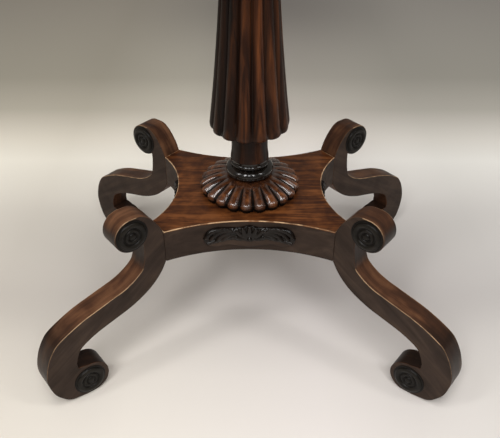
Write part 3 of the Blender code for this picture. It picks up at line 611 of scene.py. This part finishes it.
def add_tablets():
    along, grid_x, grid_z, relief = tablet_grid()
    faces = plate_faces(TABLET_COLUMNS, TABLET_ROWS)
    total = TABLET_COLUMNS * TABLET_ROWS
    # below the spray's foot, in millimetres, the plaque is plain ground in the platform's wood
    spray_foot = np.interp(np.abs(along), [0, 0.08, 0.28, 0.34, 0.62, 0.90, 1.0],
                           [-7, -6, -5, -3, -5, -8, -4])
    carved = (grid_z / MM > spray_foot[:, None]).ravel()
    # painted shade: the carving's low ground is darkened, the hidden back fully
    hollow_shade = 1 - fade(relief.ravel() / MM, 1.0, 3.6)
    recess = np.concatenate([np.where(carved, hollow_shade * 0.85, 0.0), np.ones(total)])
    plain = np.append(~carved, np.zeros(total, bool))
    kinds = [int(all(plain[corner] for corner in face)) for face in faces]
    proud = np.concatenate([relief.ravel(), np.zeros(total)])
    height = np.tile(grid_z.ravel(), 2)
    for side, (turn_deg, (_, apothem, radius, half_length)) in SIDES.items():
        across = np.tile(grid_x.ravel() * half_length / FRONT_TABLET_HALF_LENGTH, 2)
        reach = radius - GLUE_GAP * 0.3 - proud
        turn = across / radius
        bent = np.stack([reach * np.sin(turn), reach * np.cos(turn) - (apothem + radius),
                         height + PLATFORM_TOP - TABLET_DROP], 1)
        grain = np.stack([across + turn_deg * 0.003, proud, height], 1)
        add_piece("tablet_carving_" + side, bent, faces, [TABLET_WOOD, SIDE_WOOD], ["carved_tablet_" + side],
                  "ebonised_wood", face_materials=kinds, place=seat(turn_deg), sharp_deg=50,
                  grain=grain, recess=recess)


# Legs: S-scrolls with pale worn arrises and turned roundels on the rolls

def leg_outline():
    """Side view of a leg: out from the platform's corner, and height."""
    crown = spread([(0, 0), (0.030, 0.337), (0.073, 0.645), (0.121, 0.880), (0.164, 0.982), (0.205, 1.0)],
                   LEG_REACH, PLATFORM_TOP, VOLUTE_RISE + VOLUTE_RADIUS)
    roll = arc((VOLUTE_OUT, TOP_ROLL_HEIGHT), VOLUTE_RADIUS, 85, -130, 52)
    stem = [(STEM_DEPTH, PLATFORM_BOTTOM + 0.745 * PLATFORM_THICKNESS)]
    stem += spread([(0.164, 0.419), (0.176, 0.205), (0.200, 0.029), (0.273, -0.188), (0.359, -0.343)],
                   LEG_REACH, PLATFORM_BOTTOM, PLATFORM_THICKNESS)
    stem += spread([(0.515, 0.848), (0.691, 0.788), (0.859, 0.694), (0.924, 0.619), (0.974, 0.503),
                    (1.000, 0.355), (0.975, 0.191), (0.925, 0.091), (0.867, 0.030), (0.752, 0.000)],
                   LEG_REACH, 0, PLATFORM_BOTTOM)
    flat_deg = 180 + math.degrees(math.asin(FOOT_ROLL_HEIGHT / FOOT_VOLUTE_RADIUS))
    foot = arc((FOOT_VOLUTE_OUT, FOOT_ROLL_HEIGHT), FOOT_VOLUTE_RADIUS, flat_deg, 90, 36)
    foot += spread([(0.745, 2.05), (0.773, 2.07)], LEG_REACH, 0, FOOT_VOLUTE_RADIUS)
    under = spread([(0.777, 2.40)], LEG_REACH, 0, FOOT_VOLUTE_RADIUS)
    under += spread([(0.757, 0.458), (0.718, 0.529), (0.604, 0.599), (0.458, 0.651), (0.327, 0.694),
                     (0.212, 0.752), (0.119, 0.824), (0.048, 0.910), (0, 1.0)],
                    LEG_REACH, 0, PLATFORM_BOTTOM)
    return smooth(crown, 6) + roll + smooth(stem, 6) + foot + smooth(under, 6)


def on_foot_roll(out, up):
    return (out < 0.782 * LEG_REACH) & (up < 2.2 * FOOT_VOLUTE_RADIUS)


def leg_rub(line, outward):
    """Shoes and dusters rub the arrises that face upwards: hardly on the stem, not on the foot roll."""
    out, up = line.T
    upward = np.clip(1.15 * outward[:, 1] - 0.05, 0.0, 1.0)
    stem = (out < 1.2 * STEM_DEPTH) & (up > 0.9 * PLATFORM_BOTTOM)
    return np.where(on_foot_roll(out, up), 0.0, np.where(stem, 0.1 * upward, upward))


def leg_painted_shade(out, up):
    """Painted shade on a leg's bands: in the throat below the top roll, inside the foot
    roll, and down the outsides of the top roll and the sweep, where the bands turn from the light."""
    throat = (out > STEM_DEPTH - 2 * MM) & (out < VOLUTE_OUT)
    below_roll = fade(up, TOP_ROLL_HEIGHT, TOP_ROLL_HEIGHT - 20 * MM)
    shading = np.where(throat, 0.75 * below_roll * fade(up, PLATFORM_BOTTOM, PLATFORM_BOTTOM + 12 * MM), 0.0)
    shading = np.where(on_foot_roll(out, up) & (up > FOOT_VOLUTE_RADIUS), 0.8, shading)
    drop = (TOP_ROLL_HEIGHT - up) / VOLUTE_RADIUS
    top_roll = (out > VOLUTE_OUT - 0.4 * VOLUTE_RADIUS) & (drop < 1.1)
    shading = np.where(top_roll, np.maximum(shading, 0.85 * fade(drop, -0.85, -0.25)), shading)
    sweep_outside = fade(out / LEG_REACH, 0.70, 0.88) * fade(up, 145 * MM, 105 * MM)
    return np.maximum(shading, 0.76 * sweep_outside)


def add_legs():
    layers = arris_layers(LEG_THICKNESS, LEG_ARRIS)
    points, faces, kinds, wear, travel = sawn(leg_outline(), layers, rub=leg_rub)
    flat = np.abs(points[:, 1]) > LEG_THICKNESS / 2 - 0.3 * MM
    out, up = points[:, 0], points[:, 2]
    # painted shade on the leg's bands; the flat faces get none
    recess = np.where(flat, 0.0, leg_painted_shade(out, up))
    # the faces show straight grain along the leg's slope, the bands grain that follows the curve
    slope = math.radians(-34)
    plank = np.stack([out * math.cos(slope) + up * math.sin(slope),
                      up * math.cos(slope) - out * math.sin(slope), points[:, 1]], 1)
    bent = np.stack([travel, points[:, 1], 0 * travel], 1)
    next_board = np.array([0.37, 0.05, 0.11])
    for number, (corner, turn_deg) in enumerate(LEG_TURNS.items(), 2):
        add_piece("leg_scroll_" + corner, points, faces, [BAND_WOOD, SIDE_WOOD], ["leg_" + corner],
                  "rosewood", face_materials=kinds, place=seat(turn_deg, LEG_SEAT),
                  grain=np.where(flat[:, None], plank, bent) + next_board * number,
                  wear=wear, recess=recess)


def add_roundels():
    rings = smooth([(0.0, 1.0), (0.13, 0.96), (0.21, 0.70), (0.25, 0.36), (0.31, 0.36), (0.35, 0.66),
                    (0.42, 0.80), (0.50, 0.66), (0.54, 0.34), (0.61, 0.34), (0.66, 0.72), (0.76, 0.98),
                    (0.88, 0.92), (0.97, 0.60), (1.0, 0.24), (1.06, 0.20), (ROUNDEL_LIP, 0.10)], 3)
    profile = [(ROUNDEL_RADIUS * max(0.0, r), ROUNDEL_HEIGHT * h + GLUE_GAP) for r, h in rings]
    profile += [(ROUNDEL_LIP * ROUNDEL_RADIUS, 0.0), (0.0, 0.0)]
    points, faces, _ = turned(profile, 48)
    # painted shade: the low rings and the lip of the roundel are darkened
    recess = 0.75 * (1 - fade(points[:, 2] / ROUNDEL_HEIGHT, 0.45, 0.80))
    eyes = {"top": (VOLUTE_OUT, TOP_ROLL_HEIGHT), "foot": (FOOT_ROUNDEL_OUT, FOOT_ROLL_HEIGHT)}
    mesh = None
    for corner, turn_deg in LEG_TURNS.items():
        for end, (out, height) in eyes.items():
            for face, side in (("left", -1), ("right", 1)):
                place = seat(turn_deg, LEG_SEAT + out, side * LEG_THICKNESS / 2, height)
                place = place @ Matrix.Rotation(math.radians(-90 * side), 4, "X")
                name = f"roundel_{corner}_{end}_{face}"
                if mesh is None:
                    mesh = add_piece("turned_" + name, points, faces, [ROUNDEL_WOOD], [name], "ebonised_wood",
                                     place=place, grain=points, recess=recess).data
                else:
                    hang_piece("turned_" + name, mesh, [name], place=place)


# Turned ring, gadrooned collar and reeded column

def add_ring():
    low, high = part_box("neck_ring")
    base, top = low.z, high.z
    neck, bead = NECK_RADIUS, RING_BEAD_RADIUS
    roll = RING_ROLL_RADIUS - RING_ROLL_EASE
    profile = [(BORE_RADIUS, top), (neck + 0.0012, top)]
    profile += smooth([(neck + 0.0012, top - 0.0006), (neck + 0.0013, top - 0.0020),
                       (bead - 0.0012, top - 0.0034)], 4)
    profile += arc((bead - 0.0024, top - 0.0058), 0.0026, 62, -70, 10)
    profile += smooth([(bead - 0.0022, top - 0.0084), (bead - 0.0020, top - 0.0090),
                       (bead - 0.0002, top - 0.0096)], 3)
    profile += arc((RING_RADIUS - roll, base + roll), roll, 66, -90, 20) + [(BORE_RADIUS, base)]
    points, faces, _ = turned(profile, 72, closed=True)
    add_piece("neck_ring_turned", points, faces, [RING_WOOD], ["neck_ring"], "ebonised_wood",
              grain=points[:, [2, 0, 1]], recess=np.zeros(len(points)))


def add_collar():
    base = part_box("gadrooned_collar")[0].z
    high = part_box("gadrooned_collar")[1].z - base
    dome = smooth(spread([(0.44, 1.0), (0.62, 0.955), (0.78, 0.82), (0.90, 0.66), (0.975, 0.53), (1.0, 0.41),
                          (0.995, 0.24), (0.980, 0.10), (0.955, 0.0)], COLLAR_RADIUS, 0, high), 5)
    section = [(BORE_RADIUS, high)] + dome + [(BORE_RADIUS, 0.0)]
    profile = [(radius, base + height) for radius, height in section]
    turn = math.radians(GADROON_TURN_DEG)
    full = COLLAR_TOP_RADIUS + GADROON_RUN
    depths = [0.0] + [GADROON_DEPTH * fade(radius, COLLAR_TOP_RADIUS, full) for radius, _ in dome] + [0.0]

    def cut(row, angle):
        return depths[row] * lobe(angle, GADROON_COUNT, turn)

    points, faces, labels = turned(profile, GADROON_COUNT * LOBE_STEPS, cut, closed=True)
    # painted shade: the grooves between the gadroons, and the dome's lowest and highest parts
    groove_shade = np.array([0.95 * lobe(angle, GADROON_COUNT, turn) ** 0.75 * min(1.0, depths[row] / (2 * MM))
                       for row, angle in labels])
    shade = np.interp((points[:, 2] - base) / high, [0.0, 0.22, 0.42, 0.62, 0.85, 1.0],
                      [0.8, 0.8, 0, 0, 0.35, 0.5])
    recess = np.maximum(groove_shade, shade)
    # faces deep in painted shade take the groove wood, a shaded copy of the carved wood
    kinds = [int(recess[list(face)].mean() > GROOVE_SHARE) for face in faces]
    add_piece("gadrooned_collar_carved", points, faces, [CARVED_WOOD, GROOVE_SHADE_WOOD], ["gadrooned_collar"],
              "ebonised_wood", face_materials=kinds, sharp_deg=60, grain=points[:, [2, 0, 1]], recess=recess)


def flare_radius(height):
    share = (REEDS_TOP - height) / (REEDS_TOP - WIDEST_HEIGHT)
    return WAIST_RADIUS + (WIDEST_RADIUS - WAIST_RADIUS) * share ** FLARE_POWER


def column_profile():
    """Column from its upper tenon down: capital, flare, rounded lower end, neck and lower tenon."""
    waist = WAIST_RADIUS
    tenon_end = COLUMN_TOP + BLOCK_TENON_LENGTH
    profile = [(0, tenon_end), (BLOCK_TENON_RADIUS, tenon_end), (BLOCK_TENON_RADIUS, COLUMN_TOP)]
    capital = [(CAPITAL_RADIUS - 0.0008, 0.0), (CAPITAL_RADIUS, 0.03), (CAPITAL_RADIUS, 0.20),
               (CAPITAL_RADIUS - 0.001, 0.23), (CAPITAL_RADIUS * 0.94, 0.26), (CAPITAL_RADIUS * 0.90, 0.40),
               (CAPITAL_RADIUS * 0.82, 0.52), (waist * 1.30, 0.56), (waist * 1.29, 0.60),
               (waist * 1.36, 0.66), (waist * 1.29, 0.72), (waist * 1.08, 0.74), (waist * 1.02, 0.82)]
    profile += [(radius, COLUMN_TOP - CAPITAL_HEIGHT * drop) for radius, drop in capital]
    for i in range(REED_ROWS + 1):
        height = REEDS_TOP + (WIDEST_HEIGHT - REEDS_TOP) * i / REED_ROWS
        profile.append((flare_radius(height), height))
    underside = smooth([(1.0, 1.0), (0.972, 0.58), (0.89, 0.40), (0.744, 0.267), (0.41, 0.108),
                        (0.0, 0.0)], 5)
    for out, up in underside[1:]:
        profile.append((NECK_RADIUS + (WIDEST_RADIUS - NECK_RADIUS) * out, REEDS_BOTTOM + WIDEST_RISE * up))
    neck = [(0.0, 0.75), (0.0, 0.45), (0.0004, 0.25), (0.0012, 0.10), (0.0014, 0.0)]
    profile += [(NECK_RADIUS + out, COLUMN_SHOULDER + NECK_LENGTH * up) for out, up in neck]
    tenon_foot = PLATFORM_BOTTOM + GLUE_GAP
    return profile + [(TENON_RADIUS, COLUMN_SHOULDER), (TENON_RADIUS, tenon_foot), (0, tenon_foot)]


def reed_depth(radius, height):
    """Reeds cut in proportion to the column's girth, dying out at both their ends."""
    up = (height - REEDS_BOTTOM) / WIDEST_RISE
    lower_end = min(up / 0.10, 0.15 + 0.5 * up)
    upper_end = (REEDS_TOP - height) / (0.6 * WAIST_RADIUS)
    return REED_DEPTH * max(0.0, min(1.0, lower_end, upper_end)) * radius / WIDEST_RADIUS


def add_column():
    profile = column_profile()
    depths = [reed_depth(radius, height) for radius, height in profile]
    front_valley = math.radians(-90 + REED_TURN_DEG)

    def cut(row, angle):
        return depths[row] * lobe(angle, REED_COUNT, front_valley)

    points, faces, labels = turned(profile, REED_COUNT * LOBE_STEPS, cut)
    # painted shade in the valleys between the reeds
    valley_shade = np.array([0.92 * lobe(angle, REED_COUNT, front_valley) ** 1.1 * min(1.0, depths[row] / MM)
                       for row, angle in labels])
    # painted shade: darker to the left and a little to the right, where dark heartwood lies as well, and
    # darker towards the lower end
    across = np.cos([angle for _, angle in labels])
    heartwood_and_side_shade = np.interp(across, [-0.75, -0.2, 0.2, 0.7], [0.88, 0.45, 0.0, 0.4])
    lower_end = np.interp(points[:, 2] - REEDS_BOTTOM, [0.0, 0.3 * WIDEST_RISE, 45 * MM, 90 * MM],
                          [0.66, 0.55, 0.30, 0.0])
    recess = 1 - (1 - valley_shade) * (1 - np.maximum(heartwood_and_side_shade, lower_end))
    add_piece("column_reeded", points, faces, [COLUMN_WOOD], ["column"], "rosewood",
              sharp_deg=60, grain=points[:, [2, 0, 1]], recess=recess)


# Tip-up top: a moulded edge, figured veneer

def add_top():
    low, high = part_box("top_board")
    half_x, half_y = high.x - TOP_CORNER_RADIUS, high.y - TOP_CORNER_RADIUS
    outline = []
    for quarter, (x, y) in enumerate(((half_x, half_y), (-half_x, half_y), (-half_x, -half_y),
                                      (half_x, -half_y))):
        outline += arc((x, y), TOP_CORNER_RADIUS, 90 * quarter, 90 * quarter + 90, 16)
    # steps of the edge: millimetres from the nearer face, millimetres in, and wear
    fillet = [(0.0, 12.5, 0.0), (0.0, 11.5, 0.5), (0.4, 10.8, 1.0), (1.2, 10.6, 0.3)]
    thumb = [(1.2 + 10.5 * math.sin(math.radians(a)), 9.8 * math.cos(math.radians(a)), 0.0)
             for a in range(0, 91, 10)]
    cove = [(8.5, 0.0, 0.0), (7.5, 0.3, 0.8), (7.2, 1.4, 0.6), (5.0, 3.0, 0.0), (3.0, 6.2, 0.0),
            (0.6, 7.5, 0.4), (0.0, 8.4, 0.2), (0.0, 10.0, 0.0)]
    half = (high.z - low.z) / 2
    edge = [(half - drop * MM, inset * MM, wear) for drop, inset, wear in fillet + thumb]
    edge += [(rise * MM - half, inset * MM, wear) for rise, inset, wear in cove]
    points, faces, _, wear, _ = sawn(outline, edge)
    world = np.stack([points[:, 0], points[:, 2], low.z + half + points[:, 1]], 1)
    add_piece("top_board_moulded", world, faces, [TOP_WOOD], ["top_board"], "rosewood_veneer", body="top",
              grain=world + np.array([1.3, 0.4, 0.2]), wear=wear * 0.7)


# Pieces that keep their solids: secondary wood, brass and iron

def dress_solids():
    dowels = [name for name in nodes if name.startswith("dowel")]
    screws = [name for name in nodes if name.startswith("bearer_screw")]
    brasses = ["strike_plate", "bolt_case", "pivot_left", "pivot_right", "slide_bolt"]
    for names, material, arris in ((["tilt_block", "bearer_left", "bearer_right"], MAHOGANY, BLOCK_ARRIS),
                                   (brasses, BRASS, BRASS_ARRIS), (dowels + ["tenon_wedge"], BEECH, 0.0),
                                   (screws, IRON, 0.0)):
        for name in names:
            solid = nodes[name]
            solid.data.materials.clear()
            solid.data.materials.append(material)
            if arris:
                ease_arrises(solid, arris)


def ease_arrises(solid, arris):
    weld = solid.modifiers.new("join_corners", "WELD")
    weld.merge_threshold = 0.02 * MM
    bevel = solid.modifiers.new("eased_arris", "BEVEL")
    bevel.width = arris
    bevel.segments = 2
    bevel.limit_method = "ANGLE"
    bevel.angle_limit = math.radians(50)


# Studio: pale paper floor, soft lamps, camera at the photograph's place

FLOOR_REACH = 6.0
# tones by depth in metres, front to back, with painted light and shade in them: a dip under the table, a
# bright band behind it, darkening towards the back and the far front; and the faint tint from side to side
FLOOR_TONES = [(-0.750, "#a5a19c"), (-0.450, "#bbb6b1"), (-0.280, "#e4dfda"), (-0.250, "#e4dfda"),
               (-0.148, "#e8e3de"), (0.006, "#dbd6d3"), (0.210, "#e7e3df"), (0.381, "#fbf8f2"),
               (0.466, "#e9e4dc"), (0.602, "#bbb6ad"), (0.773, "#a4a097"), (1.455, "#9f9a94")]
FLOOR_TINTS = [(-0.360, "#eae7df"), (-0.144, "#fefcf7"), (0.086, "#fdfbfb"), (0.360, "#e8e8e7")]
# painted shadow behind the column, a soft dark patch: its middle and half its width and depth
PAINTED_SHADOW_MIDDLE = (0.05, 1.35, 0)
PAINTED_SHADOW_HALF_WIDTH = 1 / 2
PAINTED_SHADOW_HALF_DEPTH = 2 / 3
PAINTED_SHADOW_SHARE = 0.46
PAINTED_SHADOW_TONE = "#1c1b1a"
OVERHEAD_PLACE = (0, -0.2, 2.7)
OVERHEAD_SIZE = (1.3, 1.3)
OVERHEAD_WATTS = 43
STRIP_DISTANCE = 1.8
STRIP_HEIGHT = 2.1
STRIP_SIZE = (0.3, 1.2)
STRIP_AIM = (0, 0, 0.15)
# each strip: degrees round from the front, and watts
STRIPS = {"left": (-62, 12), "front_left": (-25, 20), "front": (-3, 9), "front_right": (21, 13),
          "right": (66, 10)}
LAMP_TONE = "#ffffff"
AIR_TONE = "#b4b0aa"
AIR_STRENGTH = 0.54
CAMERA_PLACE = (0.0017, -0.6733, 0.6141)
CAMERA_DOWN_DEG = 35.49
CAMERA_TURN_DEG = 0.11
CAMERA_LENS_MM = 45.87
CAMERA_SENSOR_MM = 36.0


def floor_ramp(tree, coordinate, tones):
    """Tone along one axis, from stops in metres."""
    start, end = tones[0][0], tones[-1][0]
    share = add(tree, "ShaderNodeMapRange", {0: coordinate, 1: start, 2: end}).outputs[0]
    stops = [((place - start) / (end - start), tone) for place, tone in tones]
    return add(tree, "ShaderNodeValToRGB", {"Fac": share}, stops).outputs[0]


def floor_paper():
    """Matt paper, pale under the table; its tones hold painted light and shade, darker towards the back, and
    a painted shadow lies behind the column.
    """
    material, tree = new_material("studio_paper_matt")
    place = add(tree, "ShaderNodeNewGeometry").outputs["Position"]
    parts = add(tree, "ShaderNodeSeparateXYZ", {0: place}).outputs
    tone = floor_ramp(tree, parts["Y"], FLOOR_TONES)
    tint = floor_ramp(tree, parts["X"], FLOOR_TINTS)
    colour = add(tree, "ShaderNodeMix", {0: 1.0, 6: tone, 7: tint}, data_type="RGBA",
                 blend_type="MULTIPLY").outputs[2]
    offset = add(tree, "ShaderNodeVectorMath", {0: place, 1: PAINTED_SHADOW_MIDDLE}, operation="SUBTRACT").outputs[0]
    share = (1 / PAINTED_SHADOW_HALF_WIDTH, 1 / PAINTED_SHADOW_HALF_DEPTH, 0)
    offset = add(tree, "ShaderNodeVectorMath", {0: offset, 1: share}, operation="MULTIPLY").outputs[0]
    distance = add(tree, "ShaderNodeVectorMath", {0: offset}, operation="LENGTH").outputs["Value"]
    painted_shadow = add(tree, "ShaderNodeMapRange", {0: distance, 1: 0.0, 2: 1.0, 3: PAINTED_SHADOW_SHARE, 4: 0.0},
                interpolation_type="SMOOTHSTEP").outputs[0]
    colour = add(tree, "ShaderNodeMix", {0: painted_shadow, 6: colour, 7: hex_colour(PAINTED_SHADOW_TONE)},
                 data_type="RGBA").outputs[2]
    shader = add(tree, "ShaderNodeBsdfPrincipled", {"Base Color": colour, "Roughness": 0.9,
                 "Specular IOR Level": 0.1})
    add(tree, "ShaderNodeOutputMaterial", {"Surface": shader.outputs[0]})
    return material


def add_floor():
    mesh = bpy.data.meshes.new("studio_floor")
    corners = [(x * FLOOR_REACH, y * FLOOR_REACH, 0) for x, y in ((-1, -1), (1, -1), (1, 1), (-1, 1))]
    mesh.from_pydata(corners, [], [(0, 1, 2, 3)])
    mesh.materials.append(floor_paper())
    floor = bpy.data.objects.new("studio_floor", mesh)
    bpy.context.scene.collection.objects.link(floor)


def add_lamp(name, place, aim, size, watts):
    lamp = bpy.data.lights.new(name, "AREA")
    lamp.shape = "RECTANGLE"
    lamp.size, lamp.size_y = size
    lamp.energy = watts
    lamp.color = hex_colour(LAMP_TONE)[:3]
    holder = bpy.data.objects.new(name, lamp)
    holder.location = place
    holder.rotation_euler = (Vector(aim) - Vector(place)).to_track_quat("-Z", "Y").to_euler()
    bpy.context.scene.collection.objects.link(holder)


def add_lights():
    add_lamp("lamp_overhead", OVERHEAD_PLACE, (0, 0, 0), OVERHEAD_SIZE, OVERHEAD_WATTS)
    for name, (turn_deg, watts) in STRIPS.items():
        turn = math.radians(turn_deg)
        place = (STRIP_DISTANCE * math.sin(turn), -STRIP_DISTANCE * math.cos(turn), STRIP_HEIGHT)
        add_lamp("lamp_" + name, place, STRIP_AIM, STRIP_SIZE, watts)
    world = bpy.data.worlds.new("studio_air")
    world.use_nodes = True
    air = world.node_tree.nodes["Background"].inputs
    air["Color"].default_value = hex_colour(AIR_TONE)
    air["Strength"].default_value = AIR_STRENGTH
    bpy.context.scene.world = world


def add_camera():
    lens = bpy.data.cameras.new("photo_camera")
    lens.sensor_fit = "HORIZONTAL"
    lens.sensor_width = CAMERA_SENSOR_MM
    lens.lens = CAMERA_LENS_MM
    camera = bpy.data.objects.new("photo_camera", lens)
    camera.location = CAMERA_PLACE
    camera.rotation_euler = (math.radians(90 - CAMERA_DOWN_DEG), 0, math.radians(CAMERA_TURN_DEG))
    bpy.context.scene.collection.objects.link(camera)
    bpy.context.scene.camera = camera


add_platform()
add_tablets()
add_legs()
add_roundels()
add_ring()
add_collar()
add_column()
add_top()
dress_solids()
add_floor()
add_lights()
add_camera()
bpy.context.scene.view_settings.view_transform = "Standard"
